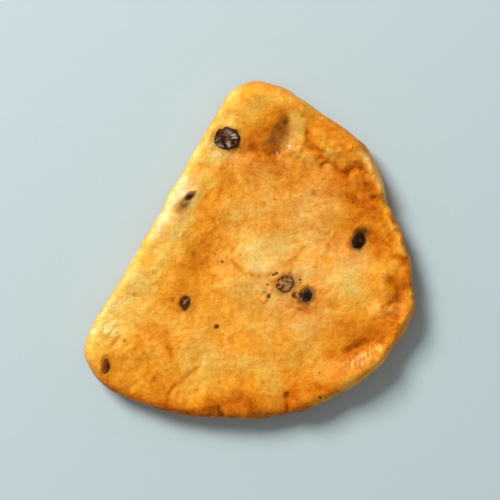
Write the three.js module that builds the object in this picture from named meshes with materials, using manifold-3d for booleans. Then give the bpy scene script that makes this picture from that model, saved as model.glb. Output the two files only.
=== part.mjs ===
// A soybean cracker: one puffed wafer, straight along its cut side, with black sesame seeds caught in it.
// Units are millimetres. The cracker lies flat on the XY plane with its shown face up (+Z).
// The origin is the middle of its plan, on the surface that it rests on.

import * as THREE from "three";
import { mergeVertices } from "three/addons/utils/BufferGeometryUtils.js";
import Module from "manifold-3d";

// Driving dimensions of the wafer
const PLATE_THICKNESS = 4.0;
const EDGE_ROUND = 1.4; // how far in from the outline the rounded edge reaches
const EQUATOR = 0.48 * PLATE_THICKNESS; // height of the edge's outermost line
const EDGE_SPREAD = 0.4; // share of the relief that also moves the outline in or out
const RIM_LIFT = 0.8; // how far the rim curls up off the table
const RIM_LIFT_REACH = 3.4; // how fast that curl dies out inwards

// The outline as seen from above, anticlockwise from the narrow end's left shoulder.
const OUTLINE = [
  [-2.2, 21.5], [-4.6, 18.2], [-17.0, -3.3], [-20.9, -9.8], [-21.7, -13.4], [-20.7, -16.2], [-18.2, -18.5],
  [-13.6, -20.5], [-8.0, -21.8], [-3.0, -22.1], [3.9, -21.8], [8.6, -20.4], [14.4, -17.3], [17.3, -15.0],
  [18.8, -12.6], [20.9, -9.6], [21.8, -6.4], [21.5, -3.4], [20.2, 2.4], [18.7, 5.5], [17.9, 6.9],
  [17.8, 8.6], [16.7, 11.5], [15.3, 13.7], [12.6, 16.2], [8.8, 18.8], [4.2, 21.6], [0.8, 22.4],
];
const OUTLINE_STEPS = 3000; // how finely the outline is measured
const HEART = new THREE.Vector2(0.5, -2.0); // every section of the wafer runs out from here

// Swellings, hollows and creases of the shown face. Each follows a path of places with a rounded
// cross-section: width is its half-width, and rise its height, which is negative for a hollow or a crease.
const RELIEF = [
  { what: "cut side, which does not curl up", path: [[-3.6, 19.6], [-20.6, -9.6]], width: 3.4, rise: -0.7 },
  { what: "bevel down the cut side", path: [[-3.6, 19.6], [-20.6, -9.6]], width: 2.0, rise: -0.2 },
  { what: "trough inside the cut side", path: [[-1.6, 9.0], [-7.6, -4.6]], width: 2.6, rise: -0.15 },
  { what: "dome of the narrow end", path: [[-1.0, 18.6], [1.4, 19.9], [4.8, 19.2]], width: 2.9, rise: 1.2 },
  { what: "foot of the dome", path: [[-1.6, 13.0], [3.4, 13.4]], width: 1.0, rise: -0.35 },
  { what: "valley beside the dome", path: [[4.7, 17.4], [3.4, 14.2]], width: 1.0, rise: -0.5 },
  { what: "lump beyond the valley", path: [[6.8, 16.6], [6.8, 14.8]], width: 1.3, rise: 0.4 },
  { what: "small lump under it", path: [[5.8, 13.0], [6.6, 12.6]], width: 1.0, rise: 0.3 },
  { what: "boulder on the shoulder", path: [[9.8, 14.2], [12.6, 13.6]], width: 2.1, rise: 0.62 },
  {
    what: "crease beside the boulder",
    path: [[7.6, 15.6], [8.3, 14.0], [9.0, 12.6]],
    width: 0.6,
    rise: -0.3,
  },
  {
    what: "crease under the boulder",
    path: [[9.4, 11.7], [10.6, 11.0], [12.2, 10.7], [13.2, 11.3], [14.9, 11.6]],
    width: 0.6,
    rise: -0.2,
  },
  {
    what: "flake along the far edge",
    path: [[15.8, 11.6], [17.2, 8.6], [17.3, 7.4]],
    width: 0.8,
    rise: 0.55,
  },
  {
    what: "crease behind the flake",
    path: [[14.8, 10.8], [15.5, 9.4], [16.8, 6.6]],
    width: 0.6,
    rise: -0.35,
  },
  {
    what: "lip of the far side",
    path: [[18.3, 5.3], [19.7, 2.1], [21.0, -3.1], [21.3, -6.4], [20.3, -9.5]],
    width: 0.55,
    rise: 0.42,
  },
  { what: "crease inside that lip", path: [[17.4, 4.8], [18.6, 1.6], [19.6, -2.0]], width: 0.6, rise: -0.2 },
  { what: "bump by the far side", path: [[17.0, -3.0], [17.7, -4.8]], width: 2.0, rise: 0.65 },
  { what: "small bumps before it", path: [[16.8, -7.4], [18.6, -7.6]], width: 0.9, rise: 0.3 },
  {
    what: "trough behind the front lip",
    path: [[13.2, -13.2], [15.2, -11.8], [17.6, -11.0]],
    width: 1.1,
    rise: -0.5,
  },
  { what: "puffed front lip", path: [[12.2, -16.2], [15.1, -15.0], [17.5, -13.3]], width: 1.5, rise: 0.7 },
  { what: "lobe beside the front crack", path: [[6.4, -19.4], [8.4, -18.6]], width: 1.5, rise: 0.3 },
  { what: "crack in the front edge", path: [[5.0, -18.9], [4.9, -21.8]], width: 0.6, rise: -0.3 },
  {
    what: "front edge that falls away",
    path: [[-16.0, -19.4], [-8.0, -21.6], [3.0, -21.8]],
    width: 2.6,
    rise: -0.5,
  },
  { what: "swollen corner", path: [[-19.0, -12.6], [-18.0, -14.6]], width: 2.2, rise: 0.3 },
  { what: "sunken middle", path: [[3.0, 4.6], [6.0, 0.4]], width: 6.0, rise: -0.45 },
  { what: "swelling towards the front", path: [[-6.0, -13.5], [1.0, -14.5]], width: 4.0, rise: 0.35 },
];

// Gentle unevenness all over: a sum of waves whose directions turn by the golden angle.
const WAVES = 9;
const WAVE_HEIGHT = 0.09;
const LONGEST_WAVE = 12.0;
const WAVE_SHRINK = 0.86; // each wave's length over the one before it
const UNDERSIDE_WAVE_SHARE = 1.2; // the hidden face is rougher
const GOLDEN_ANGLE = Math.PI * (3 - Math.sqrt(5));

// The flat spot that it rests on: unevenness of the underside sets in between these shares of its radius.
const FOOT = { radius: 8.0, flatShare: 0.7, roughShare: 1.6 };

// Mesh spacing: points round the edge, rings over the rounded edge, rings from there to the middle.
const EDGE_POINTS = 160;
const EDGE_RINGS = 4;
const FACE_RINGS = 28;
const UNDERSIDE_RINGS = 15;
const FEWEST_POINTS = 6; // in the ring next to the middle

// Black sesame seeds, drop-shaped. Those on the shown face have their own places: at, turn (degrees from +X
// to the pointed end), long, wide as a share of that, and bare, the share of the height that stands out.
const SEED = { height: 0.28, point: 0.4, around: 6, along: 4 }; // height is a share of its length
const SHOWN_SEEDS = [
  { at: [-3.3, 14.9], turn: 195, long: 4.0, wide: 0.86, bare: 0.42 },
  { at: [-7.9, 7.3], turn: 38, long: 2.3, wide: 0.46, bare: 0.28 },
  { at: [14.45, 1.7], turn: 64, long: 3.4, wide: 0.68, bare: 0.26 },
  { at: [4.85, -4.4], turn: -35, long: 3.1, wide: 0.96, bare: 0.28 },
  { at: [7.5, -5.8], turn: 56, long: 2.9, wide: 0.74, bare: 0.28 },
  { at: [6.2, -5.7], turn: 20, long: 1.5, wide: 0.9, bare: 0.5 },
  { at: [-8.5, -6.8], turn: -90, long: 2.0, wide: 0.9, bare: 0.34 },
  { at: [-18.9, -14.8], turn: 86, long: 2.8, wide: 0.52, bare: 0.3 },
];
const HIDDEN_SEEDS = { count: 26, reach: 0.93, long: 2.8, wide: 0.66, bare: 0.4, clearance: 0.05 };
const FACING_STEP = { inwards: 0.4, round: 0.004 }; // short steps that tell which way the crust faces
const WELD_DISTANCE = 1e-4; // points nearer than this are one point
const CRUST_COLOUR = 0xdf9436;

const outlineCurve = new THREE.CatmullRomCurve3(
  OUTLINE.map(([x, y]) => new THREE.Vector3(x, y, 0)),
  true,
  "centripetal",
);
outlineCurve.arcLengthDivisions = OUTLINE_STEPS;

// Distance from (x, y) to the straight run between two places.
function distanceToRun(x, y, [ax, ay], [bx, by]) {
  const length2 = (bx - ax) ** 2 + (by - ay) ** 2;
  const along = THREE.MathUtils.clamp(((x - ax) * (bx - ax) + (y - ay) * (by - ay)) / length2, 0, 1);
  return Math.hypot(x - ax - along * (bx - ax), y - ay - along * (by - ay));
}

// Distance from (x, y) to a path of straight runs: the least of the distances to them.
function distanceToPath(x, y, path) {
  const distances = path.slice(1).map((end, i) => distanceToRun(x, y, path[i], end));
  return Math.min(...distances);
}

// Height of the gentle unevenness at (x, y): each wave is shorter and lower than the one before it.
function waveHeight(x, y) {
  let sum = 0;
  for (let i = 0; i < WAVES; i++) {
    const shrink = WAVE_SHRINK ** i;
    const turn = i * GOLDEN_ANGLE;
    const along = x * Math.cos(turn) + y * Math.sin(turn);
    sum += shrink * Math.cos((2 * Math.PI * along) / (LONGEST_WAVE * shrink) + i * i);
  }
  return WAVE_HEIGHT * sum;
}

// How far the shown face stands out at (x, y): all its swellings, hollows and creases, with the unevenness.
function shownRelief(x, y) {
  const features = RELIEF.map(({ path, width, rise }) =>
    rise * Math.exp(-((distanceToPath(x, y, path) / width) ** 2)));
  return waveHeight(x, y) + features.reduce((sum, height) => sum + height, 0);
}

// How far the underside stands out at (x, y): unevenness that fades away over the flat spot it rests on.
function hiddenRelief(x, y) {
  const fromFoot = Math.hypot(x - HEART.x, y - HEART.y) / FOOT.radius;
  const rough = THREE.MathUtils.smoothstep(fromFoot, FOOT.flatShare, FOOT.roughShare);
  return UNDERSIDE_WAVE_SHARE * waveHeight(-y, x) * rough;
}

// A point of the crust. u runs round the outline, tilt from 90 degrees (shown face) over 0 (outermost line)
// to -90 (underside), and inset is how far the point lies in from the outline. The wafer is a slab with an
// elliptical edge, bent up towards the rim, and its relief stands out along the slab's own surface.
function crustPoint(u, tilt, inset) {
  const rim = outlineCurve.getPointAt(u % 1);
  const out = new THREE.Vector2(rim.x - HEART.x, rim.y - HEART.y).normalize();
  const x = rim.x - out.x * inset;
  const y = rim.y - out.y * inset;
  const half = tilt > 0 ? PLATE_THICKNESS - EQUATOR : EQUATOR;
  const lift = RIM_LIFT * Math.exp(-((inset / RIM_LIFT_REACH) ** 2));
  const shown = (1 + Math.sin(tilt)) / 2;
  const relief = shown * shownRelief(x, y) + (1 - shown) * hiddenRelief(x, y);
  const spread = EDGE_SPREAD * Math.cos(tilt) * relief;
  const height = EQUATOR + lift + Math.sin(tilt) * (half + relief);
  return new THREE.Vector3(x + out.x * spread, y + out.y * spread, Math.max(0, height));
}

// Tilt of the shown face at that inset: level, or turning over on the rounded edge.
function shownTilt(inset) {
  return Math.acos(Math.max(0, 1 - inset / EDGE_ROUND));
}

// The rings of one face, from its middle out to the rounded edge. Side is 1 for the shown face, -1 for the
// underside.
function faceRings(side, rings) {
  const made = [];
  for (let k = 1; k <= rings; k++) {
    const share = k / rings;
    const at = (u) => {
      const rim = outlineCurve.getPointAt(u);
      const reach = Math.hypot(rim.x - HEART.x, rim.y - HEART.y);
      return crustPoint(u, (side * Math.PI) / 2, reach - share * (reach - EDGE_ROUND));
    };
    made.push({ count: Math.max(FEWEST_POINTS, Math.round(EDGE_POINTS * share)), at });
  }
  return made;
}

// The whole crust as closed rings of points: shown face, rounded edge, underside.
function crustRings() {
  const edge = [];
  for (let k = 1; k < 2 * EDGE_RINGS; k++) {
    const tilt = (Math.PI / 2) * (1 - k / EDGE_RINGS);
    const inset = EDGE_ROUND * (1 - Math.cos(tilt));
    edge.push({ count: EDGE_POINTS, at: (u) => crustPoint(u, tilt, inset) });
  }
  return [...faceRings(1, FACE_RINGS), ...edge, ...faceRings(-1, UNDERSIDE_RINGS).reverse()];
}

// Stitches rings of points into one closed surface: a fan at each pole, and a zip of triangles between two
// rings.
function stitch(rings, firstPole, lastPole) {
  const points = [firstPole];
  const starts = rings.map(({ count, at }) => {
    const start = points.length;
    for (let i = 0; i < count; i++) points.push(at(i / count));
    return start;
  });
  points.push(lastPole);
  const triangles = [];
  const [firstCount, firstStart] = [rings[0].count, starts[0]];
  for (let i = 0; i < firstCount; i++) {
    triangles.push(0, firstStart + i, firstStart + ((i + 1) % firstCount));
  }
  for (let k = 0; k + 1 < rings.length; k++) {
    const [inner, outer] = [rings[k].count, rings[k + 1].count];
    const a = (i) => starts[k] + (i % inner);
    const b = (j) => starts[k + 1] + (j % outer);
    let i = 0;
    let j = 0;
    while (i < inner || j < outer) {
      if ((j + 0.5) / outer < (i + 0.5) / inner) {
        triangles.push(a(i), b(j), b(j + 1));
        j += 1;
      } else {
        triangles.push(b(j), a(i + 1), a(i));
        i += 1;
      }
    }
  }
  const end = points.length - 1;
  const [lastCount, lastStart] = [rings.at(-1).count, starts.at(-1)];
  for (let i = 0; i < lastCount; i++) {
    triangles.push(end, lastStart + ((i + 1) % lastCount), lastStart + i);
  }
  const geometry = new THREE.BufferGeometry().setFromPoints(points);
  geometry.setIndex(triangles);
  return geometry;
}

// A drop-shaped seed lying along +X about its own middle, with its pointed end at +X.
function seedGeometry(long, wide) {
  const geometry = new THREE.SphereGeometry(0.5, SEED.around, SEED.along);
  geometry.rotateZ(-Math.PI / 2);
  const position = geometry.attributes.position;
  for (let i = 0; i < position.count; i++) {
    const x = position.getX(i);
    const slim = (1 - SEED.point * (x + 0.5) ** 2) * long;
    position.setXYZ(i, x * long, position.getY(i) * slim * wide, position.getZ(i) * slim * SEED.height);
  }
  return geometry;
}

// Sets a seed on the crust: flat on the surface at that place, turned, and sunk until only its bare share
// shows. Side is 1 for the shown face and -1 for the underside.
function setSeed({ u, side, inset, turn, long, wide, bare }) {
  const pointAt = (v, depth) => crustPoint(v, side * shownTilt(depth), depth);
  const place = pointAt(u, inset);
  const inwards = pointAt(u, inset + FACING_STEP.inwards).sub(place);
  const along = pointAt(u + FACING_STEP.round, inset).sub(place);
  const normal = along.cross(inwards).multiplyScalar(side).normalize();
  const flat = new THREE.Vector3(Math.cos(turn), Math.sin(turn), 0);
  const across = normal.clone().cross(flat).normalize();
  const ahead = across.clone().cross(normal);
  const depth = (0.5 - bare) * long * SEED.height;
  const frame = new THREE.Matrix4().makeBasis(ahead, across, normal);
  frame.setPosition(place.addScaledVector(normal, -depth));
  return seedGeometry(long, wide).applyMatrix4(frame);
}

// The place on a face (u and inset) that lies at (x, y): the outline is walked until its direction matches.
function findPlace([x, y]) {
  const turn = Math.atan2(y - HEART.y, x - HEART.x);
  let best = { u: 0, gap: Infinity, reach: 0 };
  for (let i = 0; i < OUTLINE_STEPS; i++) {
    const u = i / OUTLINE_STEPS;
    const rim = outlineCurve.getPointAt(u);
    const off = Math.atan2(rim.y - HEART.y, rim.x - HEART.x) - turn;
    const gap = Math.abs(Math.atan2(Math.sin(off), Math.cos(off)));
    if (gap < best.gap) best = { u, gap, reach: Math.hypot(rim.x - HEART.x, rim.y - HEART.y) };
  }
  return { u: best.u, inset: best.reach - Math.hypot(x - HEART.x, y - HEART.y) };
}

// Seeds of the shown face, at their own places.
function shownSeeds() {
  return SHOWN_SEEDS.map(({ at, turn, long, wide, bare }) =>
    setSeed({ ...findPlace(at), side: 1, turn: THREE.MathUtils.degToRad(turn), long, wide, bare }));
}

// Seeds of the underside, spread by the golden angle. One that would reach the table is left out.
function hiddenSeeds() {
  const { count, reach, long, wide, bare, clearance } = HIDDEN_SEEDS;
  const seeds = [];
  for (let i = 0; i < count; i++) {
    const u = ((i * GOLDEN_ANGLE) / (2 * Math.PI)) % 1;
    const rim = outlineCurve.getPointAt(u);
    const inset = (1 - reach * Math.sqrt((i + 0.5) / count)) * Math.hypot(rim.x - HEART.x, rim.y - HEART.y);
    const seed = setSeed({ u, side: -1, inset, turn: i * i, long, wide, bare });
    seed.computeBoundingBox();
    if (seed.boundingBox.min.z > clearance) seeds.push(seed);
  }
  return seeds;
}

const wasm = await Module();
wasm.setup();

// A closed three.js geometry as a solid that can be joined.
function solidOf(geometry) {
  const bare = geometry.clone();
  bare.deleteAttribute("normal");
  bare.deleteAttribute("uv");
  const merged = mergeVertices(bare, WELD_DISTANCE);
  return new wasm.Manifold(new wasm.Mesh({
    numProp: 3,
    vertProperties: merged.attributes.position.array,
    triVerts: new Uint32Array(merged.index.array),
  }));
}

// A solid back as a three.js geometry with flat faces.
function geometryOf(solid) {
  const mesh = solid.getMesh();
  const geometry = new THREE.BufferGeometry();
  geometry.setAttribute("position", new THREE.BufferAttribute(mesh.vertProperties, mesh.numProp));
  geometry.setIndex(new THREE.BufferAttribute(mesh.triVerts, 1));
  return geometry;
}

// The crust with its seeds joined to it, resting on the table with the middle of its plan at the origin.
function crackerGeometry() {
  const middleInset = new THREE.Vector2(...OUTLINE[0]).distanceTo(HEART);
  const shownMiddle = crustPoint(0, Math.PI / 2, middleInset);
  const hiddenMiddle = crustPoint(0, -Math.PI / 2, middleInset);
  const crust = solidOf(stitch(crustRings(), shownMiddle, hiddenMiddle));
  const seeds = [...shownSeeds(), ...hiddenSeeds()];
  const joined = seeds.reduce((solid, seed) => solid.add(solidOf(seed)), crust);
  const geometry = geometryOf(joined);
  geometry.computeBoundingBox();
  const { min, max } = geometry.boundingBox;
  geometry.translate(-(min.x + max.x) / 2, -(min.y + max.y) / 2, -min.z);
  geometry.computeVertexNormals();
  return geometry;
}

const crust = new THREE.MeshStandardMaterial({ color: CRUST_COLOUR, roughness: 0.5, metalness: 0 });
const cracker = new THREE.Mesh(crackerGeometry(), crust);
cracker.name = "cracker";

const part = new THREE.Group();
part.name = "soybean_cracker";
part.add(cracker);

export default part;
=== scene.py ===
import itertools
import math

import bpy
import numpy as np
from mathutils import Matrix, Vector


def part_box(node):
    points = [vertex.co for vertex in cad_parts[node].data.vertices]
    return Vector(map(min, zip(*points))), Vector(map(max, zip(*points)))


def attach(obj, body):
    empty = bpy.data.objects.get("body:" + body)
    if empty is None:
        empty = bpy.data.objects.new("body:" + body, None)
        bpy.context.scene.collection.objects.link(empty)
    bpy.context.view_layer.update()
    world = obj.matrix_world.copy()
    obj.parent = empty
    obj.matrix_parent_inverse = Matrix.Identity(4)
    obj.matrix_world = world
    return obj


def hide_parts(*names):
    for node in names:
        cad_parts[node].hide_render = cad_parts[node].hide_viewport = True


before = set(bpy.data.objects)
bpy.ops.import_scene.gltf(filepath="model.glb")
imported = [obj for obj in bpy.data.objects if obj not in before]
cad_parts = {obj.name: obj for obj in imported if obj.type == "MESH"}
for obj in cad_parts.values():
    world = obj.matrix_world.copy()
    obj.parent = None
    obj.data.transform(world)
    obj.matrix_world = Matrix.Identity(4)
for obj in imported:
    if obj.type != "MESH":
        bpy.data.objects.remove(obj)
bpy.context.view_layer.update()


# The wafer: a pressed disc of rice and soybean dough, cut, dried and fried until it puffs up and blisters.
# One side is straight where it was cut, the rim rolls up, and the skin is pale where it is thick and orange
# where the soy glaze ran together. Sizes are in millimetres until a mesh is made, and +Z is the shown face.

MM = 0.001
PLATE_THICKNESS = 4.0
EDGE_ROUND = 1.4  # how far in from the outline the rounded edge reaches
EQUATOR = 0.48 * PLATE_THICKNESS  # height of the edge's outermost line
EDGE_SPREAD = 0.4  # share of the relief that also moves the outline in or out
RIM_LIFT = 0.8  # how far the rim curls up off the table
RIM_LIFT_REACH = 3.4  # how fast that curl dies out inwards
HEART = np.array([0.5, -2.0])  # every section of the wafer runs out from here
FOOT_RADIUS = 8.0  # of the flat spot that it rests on
FOOT_FADE = (0.7, 1.6)  # foot radii between which the underside's relief fades in

OUTLINE = [  # as seen from above, anticlockwise from the narrow end's left shoulder
    (-2.2, 21.5), (-4.6, 18.2), (-17.0, -3.3), (-20.9, -9.8), (-21.7, -13.4), (-20.7, -16.2), (-18.2, -18.5),
    (-13.6, -20.5), (-8.0, -21.8), (-3.0, -22.1), (3.9, -21.8), (8.6, -20.4), (14.4, -17.3), (17.3, -15.0),
    (18.8, -12.6), (20.9, -9.6), (21.8, -6.4), (21.5, -3.4), (20.2, 2.4), (18.7, 5.5), (17.9, 6.9),
    (17.8, 8.6), (16.7, 11.5), (15.3, 13.7), (12.6, 16.2), (8.8, 18.8), (4.2, 21.6), (0.8, 22.4),
]
CURVE_STEPS = 120  # points of the outline from one corner to the next
CUT_SIDE = [(-3.6, 19.6), (-20.6, -9.6)]  # the straight side

# Swellings, hollows and creases of the shown face: each follows a path of places with a rounded cross-section
# of that half-width and height, which is negative for a hollow or a crease.
RELIEF = {
    "cut side, which does not curl up": (CUT_SIDE, 3.4, -0.7),
    "bevel down the cut side": (CUT_SIDE, 2.0, -0.2),
    "trough inside the cut side": ([(-1.6, 9.0), (-7.6, -4.6)], 2.6, -0.15),
    "dome of the narrow end": ([(-1.0, 18.6), (1.4, 19.9), (4.8, 19.2)], 2.9, 1.2),
    "foot of the dome": ([(-1.6, 13.0), (3.4, 13.4)], 1.0, -0.35),
    "valley beside the dome": ([(4.7, 17.4), (3.4, 14.2)], 1.0, -0.5),
    "lump beyond the valley": ([(6.8, 16.6), (6.8, 14.8)], 1.3, 0.4),
    "small lump under it": ([(5.8, 13.0), (6.6, 12.6)], 1.0, 0.3),
    "boulder on the shoulder": ([(9.8, 14.2), (12.6, 13.6)], 2.1, 0.62),
    "crease beside the boulder": ([(7.6, 15.6), (8.3, 14.0), (9.0, 12.6)], 0.5, -0.5),
    "crease under the boulder": (
        [(9.6, 11.4), (10.8, 10.7), (12.3, 10.1), (13.2, 10.7), (14.2, 11.0)],
        0.5, -0.4,
    ),
    "flake along the far edge": ([(15.8, 11.6), (17.2, 8.6), (17.3, 7.4)], 0.8, 0.55),
    "crease behind the flake": ([(14.8, 10.8), (15.5, 9.4), (16.8, 6.6)], 0.5, -0.35),
    "lip of the far side": (
        [(18.3, 5.3), (19.7, 2.1), (21.0, -3.1), (21.3, -6.4), (20.3, -9.5)],
        0.55, 0.42,
    ),
    "crease inside that lip": ([(17.4, 4.8), (18.6, 1.6), (19.6, -2.0)], 0.5, -0.2),
    "bump by the far side": ([(17.0, -3.0), (17.7, -4.8)], 2.0, 0.65),
    "small bumps before it": ([(16.8, -7.4), (18.6, -7.6)], 0.9, 0.3),
    "trough behind the front lip": ([(13.2, -13.2), (15.2, -11.8), (17.6, -11.0)], 1.1, -0.5),
    "puffed front lip": ([(12.2, -16.2), (15.1, -15.0), (17.5, -13.3)], 1.5, 0.7),
    "lobe beside the front crack": ([(6.4, -19.4), (8.4, -18.6)], 1.5, 0.3),
    "crack in the front edge": ([(5.0, -18.9), (4.9, -21.8)], 0.36, -0.34),
    "wrinkle across the front": (
        [(-10.6, -18.8), (-9.6, -17.2), (-8.0, -16.7), (-7.2, -15.4)],
        0.36, -0.16,
    ),
    "fine crease of the plate": ([(7.4, 0.4), (6.4, -0.8), (5.0, -1.9)], 0.4, -0.12),
    "front edge that falls away": ([(-16.0, -19.4), (-8.0, -21.6), (3.0, -21.8)], 2.6, -0.5),
    "swollen corner": ([(-19.0, -12.6), (-18.0, -14.6)], 2.2, 0.3),
    "sunken middle": ([(3.0, 4.6), (6.0, 0.4)], 6.0, -0.45),
    "swelling towards the front": ([(-6.0, -13.5), (1.0, -14.5)], 4.0, 0.35),
}

# Gentle unevenness: a sum of waves whose directions turn by the golden angle.
WAVES = 9
WAVE_HEIGHT = 0.09
LONGEST_WAVE = 12.0
WAVE_SHRINK = 0.86  # each wave's length over the one before it
UNDERSIDE_WAVE_SHARE = 1.2  # the hidden face is rougher
GOLDEN_ANGLE = math.pi * (3 - math.sqrt(5))

# How much darker (above 0) or paler (below 0) the glaze baked there than on the plain plate. Some rows are
# painted light instead: the dome's top, the cut side's top edge, the boulder's foot and the flank under the
# front lip are made paler as painted light, and the dome's slope, the flank under the far lip, the trough
# behind the front lip and the front edge are made darker as painted shade.
BROWNING_AND_PAINTED_LIGHT = {
    "pale cut side": ([(-7.4, 13.2), (-20.8, -10.4)], 1.2, -0.17),
    # Painted highlight along the cut side's top edge, which faces the lamp.
    "painted highlight on the cut side's top edge": ([(-2.2, 20.8), (-4.8, 17.8), (-7.4, 13.2)], 0.8, -0.09),
    "white skin round the second seed": ([(-8.8, 8.6), (-10.2, 6.4), (-10.8, 4.8)], 1.1, -0.2),
    "brown skin over the second seed": ([(-9.3, 5.8), (-8.4, 6.6)], 0.7, 0.24),
    "white skin under it": ([(-11.4, 4.2), (-12.6, 2.2)], 0.9, -0.12),
    "orange trough": ([(-4.2, 6.8), (-6.2, 1.0), (-8.0, -5.4)], 1.8, 0.14),
    "orange patch under the first seed": ([(-4.0, 10.6), (-3.0, 10.2)], 0.9, 0.1),
    "pale collar of the first seed": ([(-5.2, 14.2), (-4.4, 13.0), (-2.2, 12.7)], 0.7, -0.14),
    # Painted light on the dome's top, which faces the lamp, and painted shade on its slope, which faces away.
    "painted light on the top of the dome": ([(-0.2, 18.4), (2.0, 19.6)], 1.3, -0.15),
    "painted shade on the slope of the dome": ([(0.2, 14.8), (2.2, 16.2), (2.8, 17.2)], 1.3, 0.25),
    "dark foot of the dome": ([(0.0, 13.6), (3.2, 12.9)], 1.1, 0.27),
    "pale lump beyond the valley": ([(6.4, 17.6), (7.2, 16.2)], 1.2, -0.24),
    "brown patch under the boulder": ([(12.4, 8.6), (13.2, 7.8)], 1.1, 0.18),
    "golden back of the boulder": ([(8.6, 16.6), (11.4, 15.6), (13.2, 13.6)], 1.2, 0.13),
    # Painted highlight at the boulder's foot, on its side towards the lamp.
    "painted highlight at the foot of the boulder": ([(9.6, 13.4), (10.6, 12.4)], 0.7, -0.06),
    "brown skin over the buried seed": ([(4.9, 17.2), (4.4, 15.4), (3.9, 13.8)], 0.7, 0.26),
    "pale skin beside it": ([(5.9, 16.0), (5.5, 14.2)], 0.6, -0.1),
    "pale inner side of the band": ([(-6.8, 7.0), (-8.6, 4.4)], 0.9, -0.1),
    "golden skin inside the cut side": ([(-9.8, 3.0), (-11.4, -2.6)], 1.2, -0.08),
    "red zone under the boulder": ([(12.0, 10.4), (14.0, 10.6), (15.6, 7.6)], 1.3, 0.22),
    "pale flake": ([(15.4, 12.2), (16.9, 10.4), (17.8, 8.2)], 0.7, -0.16),
    "brown inner side of the flake": ([(16.2, 9.8), (16.6, 7.6)], 0.7, 0.07),
    "brown far shoulder": ([(14.4, 7.4), (15.4, 4.6), (12.8, 3.4)], 1.7, 0.2),
    "orange patch beyond the far seed": ([(16.6, 2.0), (17.2, 0.2)], 1.3, 0.28),
    "dark side of the far seed": ([(12.6, 0.8), (13.2, 0.2)], 0.9, 0.14),
    # Painted shadow on the flank under the far lip, and painted light on the flank under the front lip.
    "painted shadow on the flank under the far lip": ([(19.4, 5.4), (20.9, 2.2), (22.2, -3.2), (22.4, -6.6)], 0.8, 0.42),
    "painted light on the flank under the front lip": (
        [(8.6, -20.6), (15.4, -17.0), (18.4, -14.2), (21.0, -10.0)],
        1.0, -0.16,
    ),
    "brown inner side of the far lip": ([(20.0, -1.2), (20.6, -2.8), (20.8, -4.4)], 0.7, 0.36),
    "red patch by the far lip": ([(19.0, -3.8), (19.5, -5.0), (19.2, -6.2)], 0.8, 0.36),
    "red crease before it": ([(17.4, -6.9), (18.4, -6.6)], 0.4, 0.26),
    "orange upper plate": ([(4.0, 10.4), (8.4, 9.8), (9.8, 8.8)], 1.6, 0.12),
    "pale upper plate": ([(-3.2, 3.8), (2.6, 5.4)], 1.8, -0.08),
    "pale middle": ([(0.2, 0.2), (0.8, -1.4)], 1.9, -0.32),
    "vein round the pale middle": ([(-2.2, 0.8), (-2.1, -1.4), (-1.0, -2.9), (2.8, -3.0)], 0.3, 0.14),
    "pale behind the middle": ([(3.6, 0.4), (5.4, 0.6), (9.4, 2.0)], 1.7, -0.16),
    "pale round the seeds": ([(8.4, -3.0), (12.5, -3.0)], 2.4, -0.07),
    "pale before the far bump": ([(13.2, -4.6), (14.8, -6.2)], 2.2, -0.23),
    "pale left of the seeds": ([(-1.6, -4.6), (1.6, -4.0), (2.0, -9.4)], 1.8, -0.12),
    # Painted shade in the trough behind the front lip.
    "painted shade in the trough behind the front lip": ([(13.4, -12.7), (15.2, -11.7), (16.4, -11.3)], 0.8, 0.28),
    "orange before the trough": ([(10.6, -13.6), (12.8, -14.9), (15.8, -13.6)], 1.2, 0.22),
    "orange behind the lip": ([(12.0, -10.0), (17.0, -9.8), (19.4, -9.2)], 1.6, 0.2),
    "brown far end of the lip": ([(17.6, -11.4), (18.6, -10.8)], 1.0, 0.12),
    "orange patch before the seeds": ([(4.6, -8.6), (6.8, -7.8)], 1.1, 0.13),
    "pale corner": ([(-18.0, -9.4), (-17.4, -7.0), (-14.6, -4.6)], 1.5, -0.15),
    "pale front plate": ([(-8.0, -15.0), (-3.0, -14.2), (2.0, -15.4)], 1.8, -0.17),
    "pale right of it": ([(7.4, -11.6), (8.2, -12.6)], 1.9, -0.16),
    "orange streak of the front plate": ([(-11.0, -10.4), (-10.5, -13.6)], 0.5, 0.16),
    "orange corner": ([(-16.8, -12.2), (-19.0, -14.4)], 1.3, 0.17),
    # Painted shade along the front edge, darker where it falls away from the lamp.
    "painted shade of the front edge, left": ([(-19.8, -17.8), (-17.0, -19.4), (-13.2, -20.8), (-8.0, -22.0)], 1.5, 0.35),
    "painted shade of the front edge, middle": ([(-5.0, -20.8), (-3.0, -20.9), (-1.6, -19.6), (0.4, -20.4)], 1.8, 0.37),
    "painted shade of the front edge, right": ([(2.0, -22.2), (8.0, -20.8)], 1.4, 0.25),
    "brown lobe beside the crack": ([(5.6, -19.0), (6.6, -17.6), (10.6, -18.2)], 1.4, 0.3),
    "crack in the front edge": ([(5.0, -18.7), (4.9, -21.6)], 0.32, 0.14),
}
CREASE_SHADE_AND_LIP_LIGHT = {  # half-width and browning along paths of the relief: painted shade in the creases, painted light on the far lip
    # Darker along the creases: painted shade where the creases are shaded.
    "crease beside the boulder": (0.8, 0.24),
    "crease under the boulder": (0.7, 0.1),
    "crease behind the flake": (0.5, 0.1),
    # Paler along the far lip: painted light on the thin lip that catches the lamp.
    "lip of the far side": (0.34, -0.1),
    "crease inside that lip": (0.5, 0.14),
    "wrinkle across the front": (0.4, 0.12),
    "fine crease of the plate": (0.4, 0.12),
}
BROWNING_AND_PAINTED_LIGHT.update({name: (RELIEF[name][0], *browned) for name, browned in CREASE_SHADE_AND_LIP_LIGHT.items()})

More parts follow.
